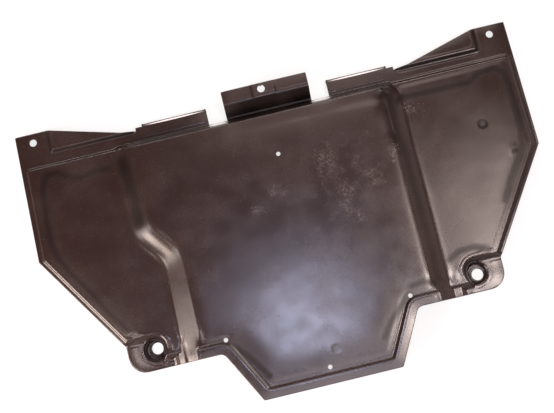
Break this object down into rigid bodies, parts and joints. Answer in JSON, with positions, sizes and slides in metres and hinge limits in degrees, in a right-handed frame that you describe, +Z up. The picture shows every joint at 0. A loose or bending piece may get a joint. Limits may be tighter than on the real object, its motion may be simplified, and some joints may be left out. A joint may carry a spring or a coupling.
{
  "type": "engine splash shield",
  "caption": "Moulded plastic splash shield with a raised centre, stepped flange, screw ears, a raised screw tab and recessed rear screw bosses.",
  "frame": {"origin": "under the middle of the shield's outline, on the surface it lies on", "axes": "+X along the front edge, +Y towards the front edge with the ears and the tab, +Z up out of the road side"},
  "size_m": [0.772, 0.47, 0.0326],
  "materials": {
    "moulded_plastic": "satin"
  },
  "bodies": {
    "root": {"splash_shield": "moulded_plastic"}
  },
  "joints": []
}
